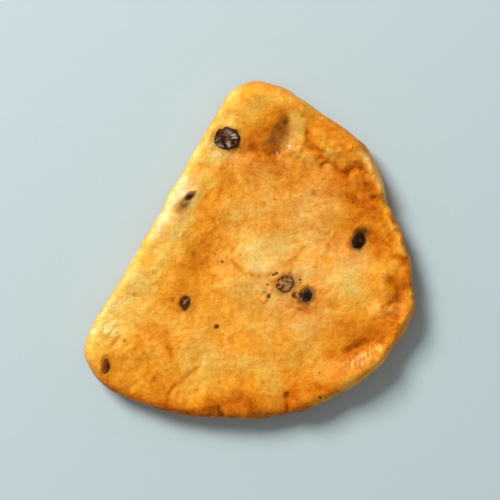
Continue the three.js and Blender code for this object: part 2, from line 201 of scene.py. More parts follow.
# Where starch makes the skin paler and less yellow, from 0 to 1.
STARCHY_SKIN = {
    "middle of the plate": ([(2.0, 9.0), (2.4, 1.0), (5.0, -6.4)], 5.6, 0.52),
    "round the second seed": ([(-7.6, 9.2), (-10.2, 5.0), (-11.8, 3.4)], 1.4, 0.9),
    "upper plate": ([(8.0, 6.0), (10.0, 9.0)], 2.8, 0.9),
    "round the far seed": ([(10.6, 0.4), (14.0, -1.0)], 2.4, 0.85),
    "round the seeds": ([(3.0, -3.0), (9.4, -4.4)], 2.0, 0.65),
    "before the seeds": ([(5.2, -6.8), (8.6, -8.8)], 2.0, 0.7),
    "under the first seed": ([(-2.6, 12.4), (0.0, 12.0)], 1.3, 0.85),
    "beside the buried seed": ([(5.4, 16.0), (5.2, 14.2)], 0.8, 0.8),
    "small bumps": ([(17.0, -7.6), (19.2, -7.8)], 1.4, 0.6),
    "left of the pale middle": ([(-3.6, -1.2), (-2.4, -3.0)], 1.8, 0.5),
    "flake": ([(15.2, 12.0), (16.6, 10.0), (17.6, 8.2)], 1.1, 0.7),
    "front lip": ([(9.6, -15.6), (13.0, -14.6)], 1.6, 0.6),
    "front of the plate": ([(-12.0, -9.0), (-6.0, -11.0)], 4.0, 0.25),
}

# Where the glaze lies thick and wet, from 0 to 1.
WET_GLAZE = {
    "inner slope of the front lip": ([(12.8, -15.0), (17.0, -13.1)], 0.6, 0.15),
    "small bumps": ([(16.6, -7.4), (18.6, -7.6)], 0.9, 0.5),
    "corner": ([(-20.0, -11.0), (-17.4, -12.6)], 1.4, 0.25),
    "foot of the dome": ([(3.0, 13.8), (6.8, 13.9)], 0.8, 0.9),
}

# Where the skin is crowded with small bubbles, from 0 to 1.
ROUGH_SKIN = {
    "shoulder": ([(6.5, 14.0), (14.0, 13.0)], 2.6, 1.0),
    "inner side of the rolled rim": ([(-7.2, 6.0), (-13.4, -4.6)], 1.3, 0.35),
    "corner": ([(-19.2, -9.4), (-17.0, -13.0)], 1.8, 0.8),
    "far edge": ([(16.0, 10.0), (20.4, -1.0)], 1.4, 0.7),
    "front edge": ([(-14.0, -18.4), (9.0, -19.2)], 1.6, 0.3),
    "outer side of the front lip": ([(9.0, -20.0), (15.4, -16.6), (19.6, -11.6), (21.6, -6.0)], 1.2, 0.6),
}


def closed_curve(corners, steps):
    """Centripetal Catmull-Rom curve: between two corners a cubic runs whose end slopes come from the corners
    before and after, each weighed by the square root of the distance. Also returns each point's share of the
    way."""
    here = np.array(corners)
    before, after, beyond = np.roll(here, 1, 0), np.roll(here, -1, 0), np.roll(here, -2, 0)
    gap_in = np.linalg.norm(here - before, axis=1, keepdims=True) ** 0.5
    gap = np.linalg.norm(after - here, axis=1, keepdims=True) ** 0.5
    gap_out = np.linalg.norm(beyond - after, axis=1, keepdims=True) ** 0.5
    leave = ((here - before) / gap_in - (after - before) / (gap_in + gap) + (after - here) / gap) * gap
    reach = ((after - here) / gap - (beyond - here) / (gap + gap_out) + (beyond - after) / gap_out) * gap
    t = np.linspace(0, 1, steps, endpoint=False)[None, :, None]
    curve = (
        (2 * t**3 - 3 * t**2 + 1) * here[:, None]
        + (t**3 - 2 * t**2 + t) * leave[:, None]
        + (3 * t**2 - 2 * t**3) * after[:, None]
        + (t**3 - t**2) * reach[:, None]
    ).reshape(-1, 2)
    curve = np.vstack([curve, curve[:1]])
    length = np.concatenate([[0], np.cumsum(np.linalg.norm(np.diff(curve, axis=0), axis=1))])
    return curve, length / length[-1]


RIM_CURVE, RIM_SHARE = closed_curve(OUTLINE, CURVE_STEPS)


def rim_at(u):
    """Points of the outline at the share u of the way round it."""
    return np.stack([np.interp(u % 1, RIM_SHARE, RIM_CURVE[:, axis]) for axis in (0, 1)], -1)


def path_distance(plan, path):
    """Distance from each place in plan to a path of straight steps: the least of the distances to its
    steps."""
    least = np.full(len(plan), np.inf)
    for start, end in zip(np.array(path[:-1]), np.array(path[1:])):
        step = end - start
        along = np.clip((plan - start) @ step / (step @ step), 0, 1)
        least = np.minimum(least, np.linalg.norm(plan - start - along[:, None] * step, axis=1))
    return least


def bell(value, width):
    """1 at 0, with a bell-shaped fall to both sides: the exponential of minus the square of value over
    width."""
    return np.exp(-((value / width) ** 2))


PATH_WANDER = 0.7  # how far noise moves a path's places
PATH_WANDER_SIZE = 2.6  # of that noise
PATH_WANDER_SALTS = (111, 116)  # along X and Y
NARROW_PATH = 0.6  # thinner paths are broken up along their way
BREAK_SHARE = 0.7  # by which noise makes those stronger and weaker
BREAK_SIZE = 1.1


def rounded_paths(plan, paths):
    """Sum of the paths' bell-shaped cross-sections at each place in plan. Noise moves each place first, so
    that nothing runs quite straight, and makes the narrow paths stronger and weaker along their way."""
    flat = np.column_stack([plan, np.zeros(len(plan))])
    wander = [skin_noise(flat, PATH_WANDER_SIZE, salt) for salt in PATH_WANDER_SALTS]
    moved = plan + PATH_WANDER * np.column_stack(wander)
    broken = 1 + BREAK_SHARE * skin_noise(flat, BREAK_SIZE, salt=121)
    total = np.zeros(len(plan))
    for path, width, height in paths.values():
        section = height * bell(path_distance(moved, path), width)
        total += section * broken if width < NARROW_PATH else section
    return total


def wave_height(x, y):
    """Sum of cosine waves, each shorter and lower than the one before it and turned by the golden angle."""
    total = np.zeros_like(x)
    for i in range(WAVES):
        shrink = WAVE_SHRINK**i
        along = x * math.cos(i * GOLDEN_ANGLE) + y * math.sin(i * GOLDEN_ANGLE)
        total += shrink * np.cos(2 * math.pi * along / (LONGEST_WAVE * shrink) + i * i)
    return WAVE_HEIGHT * total


def smooth_step(value, low, high):
    """0 below low, 1 above high, and an S-shaped rise between them."""
    t = np.clip((value - low) / (high - low), 0, 1)
    return t * t * (3 - 2 * t)


def plain_wafer(u, tilt, inset):
    """The wafer without its fine skin: a slab with an elliptical edge, bent up towards the rim. u runs round
    the outline, tilt from a right angle (shown face) over 0 (outermost line) to minus that (underside), and
    inset is the distance in from the outline. Relief stands out along the slab's own surface, whose direction
    comes second."""
    rim = rim_at(u)
    out = (rim - HEART) / np.linalg.norm(rim - HEART, axis=1, keepdims=True)
    plan = rim - out * inset[:, None]
    half = np.where(tilt > 0, PLATE_THICKNESS - EQUATOR, EQUATOR)
    height = EQUATOR + RIM_LIFT * bell(inset, RIM_LIFT_REACH) + np.sin(tilt) * half
    shown = (1 + np.sin(tilt)) / 2
    upper = wave_height(*plan.T) + rounded_paths(plan, RELIEF)
    from_foot = np.linalg.norm(plan - HEART, axis=1) / FOOT_RADIUS
    lower = UNDERSIDE_WAVE_SHARE * wave_height(-plan[:, 1], plan[:, 0]) * smooth_step(from_foot, *FOOT_FADE)
    facing = np.column_stack([out * np.cos(tilt)[:, None], np.sin(tilt)])
    slab = np.column_stack([plan, height])
    relief = shown * upper + (1 - shown) * lower
    return slab + facing * relief[:, None] * [EDGE_SPREAD, EDGE_SPREAD, 1], facing


def lattice_draw(cell, salt):
    """An even random number from 0 to 1 for each whole-number cell: its coordinates are multiplied by large
    odd numbers, added, and mixed by shifts and products, so that every run draws the same."""
    odd = np.array([0x9E3779B97F4A7C15, 0xC2B2AE3D27D4EB4F, 0x165667B19E3779F9], np.uint64)
    mixed = (cell.astype(np.int64).astype(np.uint64) * odd).sum(-1) + np.uint64(salt * 7919 + 1)
    for factor in (0xFF51AFD7ED558CCD, 0xC4CEB9FE1A85EC53):
        mixed = (mixed ^ (mixed >> np.uint64(33))) * np.uint64(factor)
    return (mixed >> np.uint64(11)) / 2.0**53


def lattice_vector(cell, salt):
    """Three such numbers for each cell."""
    return np.stack([lattice_draw(cell, salt + k) for k in range(3)], -1)


NOISE_STRENGTH = 1.6  # brings the blended slopes to about -1 to 1


def skin_noise(points, size, salt):
    """Gradient noise from about -1 to 1: each corner of a cubic lattice has its own random slope, and the
    eight slopes round a point are blended by a smooth curve."""
    scaled = points / size
    cell = np.floor(scaled)
    part = scaled - cell
    blend = part**3 * (part * (part * 6 - 15) + 10)
    total = np.zeros(len(points))
    for corner in itertools.product((0, 1), repeat=3):
        slope = lattice_vector(cell + corner, salt) * 2 - 1
        weight = np.where(corner, blend, 1 - blend).prod(-1)
        total += weight * ((part - corner) * slope).sum(-1)
    return NOISE_STRENGTH * total


def layered_noise(points, layers):
    """Sum of noises, each given by its height, its size and its salt."""
    return sum(height * skin_noise(points, size, salt) for height, size, salt in layers)


def cell_points(scaled, salt):
    """For each of the 27 cells of a cubic lattice in and round every place: the cell, and the distance from
    the place to the cell's own random point."""
    cell = np.floor(scaled)
    for step in itertools.product((-1, 0, 1), repeat=3):
        home = cell + step
        yield home, np.linalg.norm(scaled - home - lattice_vector(home, salt), axis=1)


BUBBLE_RADII = (0.3, 0.8)  # smallest and largest, in cells


def bubble_field(points, size, salt, chance):
    """Domes from 0 to 1: each cell of a cubic lattice may hold one bubble of random place and radius, and the
    highest of those round a point counts. Chance is the share of cells that hold one."""
    smallest, largest = BUBBLE_RADII
    highest = np.zeros(len(points))
    for home, distance in cell_points(points / size, salt):
        radius = smallest + (largest - smallest) * lattice_draw(home, salt + 3)
        dome = np.maximum(1 - (distance / radius) ** 2, 0) * radius
        highest = np.maximum(highest, np.where(lattice_draw(home, salt + 4) < chance, dome, 0))
    return highest


def crackle(points, size, salt):
    """Patches like dried mud: each cell of a cubic lattice holds one random point, and a patch is all that
    lies nearest to one of them. Returns how far a place is from its patch's border, and the patch's random
    number."""
    nearest, second = np.full(len(points), np.inf), np.full(len(points), np.inf)
    patch = np.zeros(len(points))
    for home, distance in cell_points(points / size, salt):
        closer = distance < nearest
        second = np.where(closer, nearest, np.minimum(second, distance))
        patch = np.where(closer, lattice_draw(home, salt + 3), patch)
        nearest = np.where(closer, distance, nearest)
    return (second - nearest) * size, patch


# Seeds of the shown face: turn in degrees from +X to the pointed end, width as a share of the length, the
# share of the height that stands out of the crust (below 0 for what lies under the skin), how dark it shows
# through the skin round it, its pale streaks, partly starch and partly painted glints of the glossy coat, how
# far its top is worn pale, and how far it is toasted to red-brown. What a seed hasn't got is left out. The
# buried seed and the half-buried one have two rows, one for each end.
SEED_HEIGHT = 0.28  # share of its length
SHOWN_SEEDS = [
    dict(
        place=(-3.3, 14.9), turn=195, length=4.0, width=0.86, bare=0.42, veil=0.3,
        dust_and_glint=1.0, worn=0.5, toast=0.4,
    ),
    dict(place=(4.2, 15.4), turn=74, length=4.6, width=0.5, bare=-0.5, veil=0.68),
    dict(place=(4.7, 17.0), turn=72, length=2.0, width=0.6, bare=-0.5, veil=0.95),
    dict(place=(-8.6, 6.3), turn=48, length=3.0, width=0.6, bare=-0.5, veil=0.8),
    dict(place=(-7.9, 7.3), turn=38, length=2.3, width=0.46, bare=0.28, veil=0.85, dust_and_glint=0.1, toast=0.5),
    dict(place=(14.45, 1.7), turn=64, length=3.4, width=0.68, bare=0.26, veil=0.85, toast=0.1),
    dict(place=(4.85, -4.4), turn=-35, length=3.1, width=0.96, bare=0.28, veil=0.45, worn=1.0, toast=0.9),
    dict(place=(7.5, -5.8), turn=56, length=2.9, width=0.74, bare=0.28, veil=0.75, dust_and_glint=0.15, toast=0.1),
    dict(place=(6.2, -5.7), turn=20, length=1.5, width=0.9, bare=0.7, veil=0.4, worn=1.0, toast=0.9),
    dict(
        place=(-8.5, -6.8), turn=-90, length=2.0, width=0.9, bare=0.34, veil=0.6,
        dust_and_glint=0.1, worn=0.65, toast=0.6,
    ),
    dict(place=(-18.9, -14.8), turn=86, length=2.8, width=0.52, bare=0.3, veil=0.45, dust_and_glint=0.1, toast=1.4),
]

# Specks in the shown face, crumbs of seed coat: place, size, and the share of their height that stands out.
SPECKS = [
    ((-4.35, -9.8), 0.75, 0.3), ((-3.9, -21.3), 1.0, 0.3), ((9.2, -19.0), 0.6, 0.2), ((9.2, -15.9), 0.3, 0.3),
    ((-7.4, -0.2), 0.9, -0.2), ((-15.3, -5.6), 0.7, -0.2), ((16.2, 7.4), 0.7, 0.25), ((8.4, 7.8), 0.9, -0.2),
    ((12.0, 7.4), 0.7, -0.2), ((13.7, 6.6), 0.5, 0.1), ((-3.6, -1.3), 0.5, 0.1), ((1.5, 2.6), 0.7, -0.2),
    ((-12.6, -16.6), 0.7, -0.2), ((-16.5, -11.7), 0.7, 0.1), ((10.2, 0.7), 0.7, -0.2),
    ((2.5, -5.9), 0.9, 0.2), ((6.5, -7.5), 0.7, 0.1), ((-8.4, -5.9), 0.5, 0.1), ((-5.5, 0.8), 0.6, -0.2),
    ((2.0, -5.3), 0.5, -0.2),
]
CRUMB_COUNT = 22  # tiny crumbs of coat in an uneven ring round the worn seed
CRUMB_MIDDLE = np.array([4.7, -4.4])
CRUMB_RING = 1.8  # radius of that ring
CRUMB_RING_SPREAD = 0.3  # share by which a crumb lies further in or out
CRUMB_SIZE = 0.3
CRUMB_SIZE_SPREAD = 0.5
CRUMB_BARE = 0.8
for i in range(CRUMB_COUNT):
    crumb_way = np.array([math.cos(i * GOLDEN_ANGLE), math.sin(i * GOLDEN_ANGLE)])
    crumb_reach = CRUMB_RING * (1 + CRUMB_RING_SPREAD * math.cos(i * i))
    crumb_size = CRUMB_SIZE * (1 + CRUMB_SIZE_SPREAD * math.sin(i * i))
    SPECKS.append((CRUMB_MIDDLE + crumb_reach * crumb_way, crumb_size, CRUMB_BARE))

# Round a seed, distances are shares of its own oval, which is 1 on the seed's edge.
OVAL_WANDER = 0.2  # how far noise moves that oval
OVAL_WANDER_SIZE = 1.0
COLLAR_HEIGHT = 0.1  # of the dough that stands up unevenly round a seed
COLLAR_PLACE = 1.15
COLLAR_WIDTH = 0.35
COLLAR_UNEVENNESS = 0.9
COLLAR_UNEVEN_SIZE = 0.8
SHADE_FADE = (1.35, 0.7)  # from no shade of a bare seed to its full shade
BURIED_SHADE_WIDTH = 0.845
SPECK_VEIL = 0.52


def seed_rings(points):
    """For each point, the crust that stands up round the bare seeds and the shade that seeds and specks cast
    through the skin. Both follow the seed's oval, which wanders a little: a bell just outside it, and a fall
    across it. The shade of a speck, or of a seed with nothing bare, is a bell."""
    plan, wander = points[:, :2], OVAL_WANDER * skin_noise(points, OVAL_WANDER_SIZE, salt=81)
    uneven_height = COLLAR_HEIGHT * (1 + COLLAR_UNEVENNESS * skin_noise(points, COLLAR_UNEVEN_SIZE, salt=86))
    collar, shade = np.zeros(len(plan)), np.zeros(len(plan))
    for seed in SHOWN_SEEDS:
        turn, half = math.radians(seed["turn"]), seed["length"] / 2
        away = plan - seed["place"]
        ahead = away @ [math.cos(turn), math.sin(turn)] / half
        across = away @ [-math.sin(turn), math.cos(turn)] / (half * seed["width"])
        oval = np.hypot(ahead, across) + wander
        if seed["bare"] > 0:
            collar += uneven_height * bell(oval - COLLAR_PLACE, COLLAR_WIDTH)
            dark = smooth_step(oval, *SHADE_FADE)
        else:
            dark = bell(oval, BURIED_SHADE_WIDTH)
        shade = np.maximum(shade, seed["veil"] * dark)
    for place, size, _ in SPECKS:
        away = np.linalg.norm(plan - place, axis=1) / (size / 2)
        shade = np.maximum(shade, SPECK_VEIL * bell(away, BURIED_SHADE_WIDTH))
    return collar, shade


# Single blisters with a brown ring round their foot: place and radius. The lengths below are shares of it.
RING_BLISTERS = [((1.9, -6.2), 0.6), ((14.8, 3.0), 0.45), ((10.2, 0.6), 0.45)]
BLISTER_HEIGHT = 0.2
BLISTER_WANDER = 0.35  # how far noise moves the outline
BLISTER_TOP_WIDTH = 0.577
BLISTER_TOP_BROWNING = -0.06
RING_PLACE = 0.9
RING_WIDTH = 0.4
RING_BROWNING = 0.32
RING_BREAKS = (-0.6, 0.6)  # noise from which the ring fades in to its full strength


def ring_blisters(points):
    """Height of the single blisters, a low dome whose outline wanders, and the browning of the broken ring at
    their foot and of their paler top."""
    wander = np.column_stack([skin_noise(points, size=0.9, salt=salt) for salt in (51, 56)])
    broken = smooth_step(skin_noise(points, size=1.1, salt=61), *RING_BREAKS)
    height, browning = np.zeros(len(points)), np.zeros(len(points))
    for place, radius in RING_BLISTERS:
        share = np.linalg.norm((points[:, :2] - place) / radius + BLISTER_WANDER * wander, axis=1)
        height += BLISTER_HEIGHT * radius * np.maximum(0, 1 - share**2)
        browning += RING_BROWNING * broken * bell(share - RING_PLACE, RING_WIDTH)
        browning += BLISTER_TOP_BROWNING * bell(share, BLISTER_TOP_WIDTH)
    return height, browning


PUCKER_PATH = [(13.3, -14.7), (15.2, -13.8), (17.0, -12.7)]
PUCKER_REACH = 0.6
PUCKER_REACH_SPREAD = 0.5  # share by which noise changes it
PUCKER_PITCH = 0.8
PUCKER_HEIGHT = 0.03
PUCKER_LEAN = 0.25  # along X for each millimetre along Y
PUCKER_SHIFT = 0.5  # how far noise moves a wrinkle


def puckers(points):
    """Where the front lip's inner slope is puckered, from 0 to 1, with a bell-shaped fall to both sides that
    noise widens here and there, and the height of the larger wrinkles: a sine along +X, leant and spaced by
    noise."""
    shift = PUCKER_SHIFT * skin_noise(points * [1, 0, 0], size=1.1, salt=71)
    along = points[:, 0] + PUCKER_LEAN * points[:, 1] + shift
    reach = PUCKER_REACH * (1 + PUCKER_REACH_SPREAD * skin_noise(points, size=1.2, salt=73))
    puckered = bell(path_distance(points[:, :2], PUCKER_PATH), reach)
    return puckered, PUCKER_HEIGHT * np.sin(2 * math.pi * along / PUCKER_PITCH) * puckered


RIM_BAND_PATH = [(-2.6, 20.8), (-20.2, -10.6)]
RIM_BAND_WIDTHS = ([-6.0, 0.0, 4.0, 8.5, 20.0], [4.5, 2.9, 3.0, 4.3, 1.1])  # places along Y, and its widths
RIM_BAND_HEIGHT = 0.06
RIM_BAND_FADE = 0.6  # to either side of its border
RIM_BAND_WANDER = [(0.9, 2.0, 91), (0.45, 0.9, 96)]  # height, size and salt of each noise in its border


def rim_band(points):
    """The thick pale skin along the cut side, from 1 on it to 0 beyond its scalloped inner border: an
    S-shaped fall of the distance to the cut side, which wanders by noise."""
    distance = path_distance(points[:, :2], RIM_BAND_PATH) + layered_noise(points, RIM_BAND_WANDER)
    width = np.interp(points[:, 1], *RIM_BAND_WIDTHS)
    return 1 - smooth_step(distance, width - RIM_BAND_FADE, width + RIM_BAND_FADE)


# The fine skin: height, size and salt of each noise, and the heights of creases and bubbles.
LUMPS = [(0.12, 3.6, 1), (0.06, 1.7, 2), (0.025, 0.85, 3)]
CRAGS = [(0.24, 1.9, 6), (0.12, 0.9, 7)]
CREASE_DEPTH = 0.05
CREASE_WIDTH = 0.16  # of noise, either side of 0
LARGE_BUBBLE = 0.16
MIDDLE_BUBBLE = 0.3
SMALL_BUBBLE = 0.24
UNDERSIDE_BUBBLE = 0.5
SMOOTH_SKIN_BUBBLES = 0.15  # share of the middle ones outside the rough zones
ROUGH_PATCH = 0.5  # how rough the patches outside those zones are
CREASE_GLAZE = 1.5  # how much more a crease counts for the glaze
BUBBLE_GLAZE = 0.5


def skin_detail(points, shown):
    """Fine skin of the crust, in millimetres out of the plain wafer: three sizes of soft lumps, crags in
    rough zones, creases where a noise is near 0, bubbles that the frying left, crowded in rough zones, and
    larger ones underneath. Also returns the height as the glaze takes it, which gathers between lumps and in
    creases."""
    lumps = layered_noise(points, LUMPS)
    rough = np.clip(rounded_paths(points[:, :2], ROUGH_SKIN), 0, 1) * shown
    crags = rough * sum(height * abs(skin_noise(points, size, salt)) for height, size, salt in CRAGS)
    patches = smooth_step(skin_noise(points, size=6.0, salt=4), 0.0, 0.6)
    rough = np.maximum(rough, ROUGH_PATCH * patches)
    creases = CREASE_DEPTH * bell(skin_noise(points, size=1.5, salt=5), CREASE_WIDTH) * rough
    middle_share = SMOOTH_SKIN_BUBBLES + rough
    bubbles = (
        LARGE_BUBBLE * bubble_field(points, size=2.6, salt=11, chance=0.22)
        + MIDDLE_BUBBLE * bubble_field(points, size=1.5, salt=12, chance=0.35) * middle_share
        + SMALL_BUBBLE * bubble_field(points, size=0.8, salt=14, chance=0.4) * rough
    )
    underneath = UNDERSIDE_BUBBLE * bubble_field(points, size=3.2, salt=13, chance=0.4) * (1 - shown)
    glazed = lumps + crags - CREASE_GLAZE * creases + BUBBLE_GLAZE * bubbles
    return lumps + crags - creases + bubbles + underneath, glazed


FACE_STEPS = 248  # squares across the shown face, and half as many across the underside
EDGE_STEPS = 20  # squares over the rounded edge, from face to face


def face_grid(steps):
    """A square grid bent to the outline: the larger of the two grid coordinates is the share of the way out
    from the heart, and the place along that square ring is the share of the way round. Returns the share of
    the way round and the distance in from the outline of each point, the border in order, and the squares."""
    line = np.linspace(-1, 1, steps + 1)
    a, b = (axis.ravel() for axis in np.meshgrid(line, line, indexing="ij"))
    sideways = abs(a) >= abs(b)
    a_safe, b_safe = np.where(a == 0, 1, a), np.where(b == 0, 1, b)
    u = np.where(sideways, b / a_safe / 8 + 0.5 * (a < 0), 0.25 - a / b_safe / 8 + 0.5 * (b < 0)) % 1
    share = np.maximum(abs(a), abs(b))
    reach = np.linalg.norm(rim_at(u) - HEART, axis=1)
    border = np.flatnonzero(share == 1)
    border = border[np.argsort(u[border])]
    index = np.arange(len(u)).reshape(steps + 1, -1)
    squares = np.stack([index[:-1, :-1], index[1:, :-1], index[1:, 1:], index[:-1, 1:]], -1).reshape(-1, 4)
    return u, reach - share * (reach - EDGE_ROUND), border, squares


def wafer_grid():
    """Parameters of every point of the wafer (u, tilt, inset), its squares and its triangles: a bent square
    grid for each face, rings over the rounded edge, and a band of triangles where the underside has half the
    points."""
    top_u, top_inset, top_border, top_squares = face_grid(FACE_STEPS)
    low_u, low_inset, low_border, low_squares = face_grid(FACE_STEPS // 2)
    edge_tilt = math.pi / 2 * (1 - 2 * np.arange(1, EDGE_STEPS) / EDGE_STEPS)
    edge_tilt, edge_u = (axis.ravel() for axis in np.meshgrid(edge_tilt, top_u[top_border], indexing="ij"))
    edge_inset = EDGE_ROUND * (1 - np.cos(edge_tilt))
    level = math.pi / 2
    u = np.concatenate([top_u, edge_u, low_u])
    tilt = np.concatenate([np.full(len(top_u), level), edge_tilt, np.full(len(low_u), -level)])
    inset = np.concatenate([top_inset, edge_inset, low_inset])
    rings = np.vstack([top_border, len(top_u) + np.arange(len(edge_u)).reshape(EDGE_STEPS - 1, -1)])
    following = np.roll(rings, -1, 1)
    band = np.stack([rings[:-1], rings[1:], following[1:], following[:-1]], -1).reshape(-1, 4)
    low_start = len(top_u) + len(edge_u)
    low, even, odd = low_start + low_border, rings[-1, 0::2], rings[-1, 1::2]
    low_next, even_next = np.roll(low, -1), np.roll(even, -1)
    halving = np.vstack([
        np.column_stack([even, low, odd]),
        np.column_stack([low, low_next, odd]),
        np.column_stack([odd, low_next, even_next]),
    ])
    return u, tilt, inset, np.vstack([top_squares, band, low_start + low_squares[:, ::-1]]), halving


def mesh_piece(name, points, faces, fields):
    """A smooth-shaded mesh object at the origin: points in millimetres, faces as arrays of corner numbers
    with the same count of corners each, and fields as a number for each point by name."""
    mesh = bpy.data.meshes.new(name)
    corners = np.concatenate([block.ravel() for block in faces]).astype(np.int32)
    counts = np.concatenate([np.full(len(block), block.shape[1]) for block in faces])
    starts = np.concatenate([[0], np.cumsum(counts)[:-1]]).astype(np.int32)
    mesh.vertices.add(len(points))
    mesh.vertices.foreach_set("co", (points * MM).astype(np.float32).ravel())
    mesh.loops.add(len(corners))
    mesh.loops.foreach_set("vertex_index", corners)
    mesh.polygons.add(len(counts))
    mesh.polygons.foreach_set("loop_start", starts)
    mesh.polygons.foreach_set("use_smooth", np.ones(len(counts), bool))
    mesh.update(calc_edges=True)
    for field, values in fields.items():
        mesh.attributes.new(field, "FLOAT", "POINT").data.foreach_set("value", values.astype(np.float32))
    made = bpy.data.objects.new(name, mesh)
    bpy.context.scene.collection.objects.link(made)
    return made


wafer_u, wafer_tilt, wafer_inset, wafer_squares, wafer_triangles = wafer_grid()
plain_points, wafer_facing = plain_wafer(wafer_u, wafer_tilt, wafer_inset)
plain_plan = plain_points[:, :2]
wafer_shown = (1 + np.sin(wafer_tilt)) / 2
wafer_detail, wafer_lumps = skin_detail(plain_points, wafer_shown)
wafer_collar, wafer_veil = seed_rings(plain_points)
wafer_band = rim_band(plain_points)
blister_height, blister_ring = ring_blisters(plain_points)
wafer_puckered, pucker_height = puckers(plain_points)
wafer_detail += wafer_shown * (wafer_collar + blister_height)
wafer_detail += wafer_shown * (pucker_height + RIM_BAND_HEIGHT * wafer_band)
wafer_points = plain_points + wafer_facing * wafer_detail[:, None]
wafer_points[:, 2] = np.maximum(wafer_points[:, 2], 0)

# The node's box says where the wafer lies: its plan is centred there.
node_low, node_high = (np.array(corner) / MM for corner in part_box("cracker"))
plain_middle = (plain_points.min(0) + plain_points.max(0)) / 2
WAFER_SHIFT = np.array([*((node_low + node_high) / 2 - plain_middle)[:2], node_low[2]])

# Browning of the glaze, from 0 (pale) to 1 (brown), with the painted light and shade of the browning table:
# hollows hold more glaze than lumps and the underside more than the shown face, patches of starch are paler
# or darker as they dried, and thin orange veins run between them.
PLATE_BROWNING = 0.48
RIM_BAND_BROWNING = -0.13
UNDERSIDE_BROWNING = 0.22
LUMP_BROWNING = -0.48  # for each millimetre of height
PATCH_SIZE = 4.4
PATCH_WARP = 0.9  # how far noise moves the patches' borders
PATCH_BROWNING = 0.12  # from the palest patch to the darkest
PATCH_FADE = (0.0, 0.8)  # in from a patch's border
VEIN_BROWNING = 0.07
VEIN_WIDTH = 0.22
VEIN_ZONES = (-0.25, 0.35)  # noise from which the veins fade in to their full strength
GLAZE_CLOUDS = [(0.08, 4.5, 20), (0.05, 2.2, 21), (0.05, 0.9, 22)]  # height, size and salt of each noise
VEIL_LIMIT = 0.3  # the seeds' shade stops where the edge turns this far under
warp = np.column_stack([skin_noise(plain_points, size=2.4, salt=salt) for salt in (31, 36, 41)])
patch_border, patch_draw = crackle(plain_points + PATCH_WARP * warp, PATCH_SIZE, salt=41)
vein_zone = smooth_step(skin_noise(plain_points, size=7.0, salt=24), *VEIN_ZONES)
wafer_browning_and_painted_light = PLATE_BROWNING + UNDERSIDE_BROWNING * (1 - wafer_shown) + LUMP_BROWNING * wafer_lumps
wafer_browning_and_painted_light += wafer_shown * (rounded_paths(plain_plan, BROWNING_AND_PAINTED_LIGHT) + blister_ring)
wafer_browning_and_painted_light += wafer_shown * RIM_BAND_BROWNING * wafer_band
wafer_browning_and_painted_light += PATCH_BROWNING * (patch_draw - 0.5) * smooth_step(patch_border, *PATCH_FADE)
wafer_browning_and_painted_light += VEIN_BROWNING * bell(patch_border, VEIN_WIDTH) * vein_zone
wafer_browning_and_painted_light += layered_noise(plain_points, GLAZE_CLOUDS)
wafer_wet = np.clip(wafer_shown * rounded_paths(plain_plan, WET_GLAZE), 0, 1)
wafer_starch = np.clip(wafer_shown * rounded_paths(plain_plan, STARCHY_SKIN), 0, 1)

crust = mesh_piece(
    "cracker_crust",
    wafer_points + WAFER_SHIFT,
    [wafer_squares, wafer_triangles],
    {
        # The browning field also carries painted light and shade.
        "browning": wafer_browning_and_painted_light,
        "starch": wafer_starch,
        "wet": wafer_wet,
        "puckered": wafer_puckered * wafer_shown,
        "veil": wafer_veil * (wafer_shown > VEIL_LIMIT),
    },
)


def paint(red, green, blue):
    """Linear colour, with alpha, of a screen colour given in steps from 0 to 255."""
    share = np.array([red, green, blue]) / 255
    linear = np.where(share <= 0.04045, share / 12.92, ((share + 0.055) / 1.055) ** 2.4)
    return (*linear.tolist(), 1.0)


def plug(tree, node, sockets):
    """Sets each named socket of a shader node to a value, or links it to another socket."""
    for socket, value in sockets.items():
        if isinstance(value, bpy.types.NodeSocket):
            tree.links.new(value, node.inputs[socket])
        else:
            node.inputs[socket].default_value = value


def add_node(tree, kind, sockets, **options):
    """Adds a shader node with its sockets and its options."""
    made = tree.nodes.new(kind)
    for option, value in options.items():
        setattr(made, option, value)
    plug(tree, made, sockets)
    return made


def mix_colours(tree, share, low, high):
    """Blends two colours, sockets or values, by a share from 0 to 1."""
    factor_socket, low_socket, high_socket, result_socket = 0, 6, 7, 2
    sockets = {factor_socket: share, low_socket: low, high_socket: high}
    return add_node(tree, "ShaderNodeMix", sockets, data_type="RGBA").outputs[result_socket]


def ramp(tree, share, stops):
    """A colour ramp: each stop is a place from 0 to 1 and a screen colour."""
    made = add_node(tree, "ShaderNodeValToRGB", {"Fac": share})
    elements = made.color_ramp.elements
    while len(elements) < len(stops):
        elements.new(1.0)
    for element, (place, colour) in zip(elements, stops):
        element.position = place
        element.color = paint(*colour)
    return made.outputs["Color"]


def spread(tree, value, low, high, amount=1.0):
    """The value stretched so that low becomes 0 and high becomes amount, and held between these."""
    sockets = {"Value": value, "From Min": low, "From Max": high, "To Max": amount}
    return add_node(tree, "ShaderNodeMapRange", sockets).outputs["Result"]


def speckle(tree, place, grain, low=0.3, high=0.7, amount=1.0):
    """Noise of that grain in millimetres, stretched so that low becomes 0 and high becomes amount."""
    noise = add_node(tree, "ShaderNodeTexNoise", {"Vector": place, "Scale": 1 / (grain * MM), "Detail": 2.0})
    return spread(tree, noise.outputs["Fac"], low, high, amount)


def field_value(tree, name):
    """The mesh's own field of that name."""
    return add_node(tree, "ShaderNodeAttribute", {}, attribute_name=name).outputs["Fac"]


def arithmetic(tree, operation, first, second):
    """Two values or sockets, added, subtracted or multiplied."""
    return add_node(tree, "ShaderNodeMath", {0: first, 1: second}, operation=operation).outputs["Value"]


def new_material(name):
    """A material with a Principled shader, and its node tree."""
    material = bpy.data.materials.new(name)
    material.use_nodes = True
    return material, material.node_tree


def object_place(tree):
    """The place on the piece."""
    return add_node(tree, "ShaderNodeTexCoord", {}).outputs["Object"]


def set_shader(tree, sockets):
    """Sets or links the named sockets of the tree's shader."""
    plug(tree, tree.nodes["Principled BSDF"], sockets)


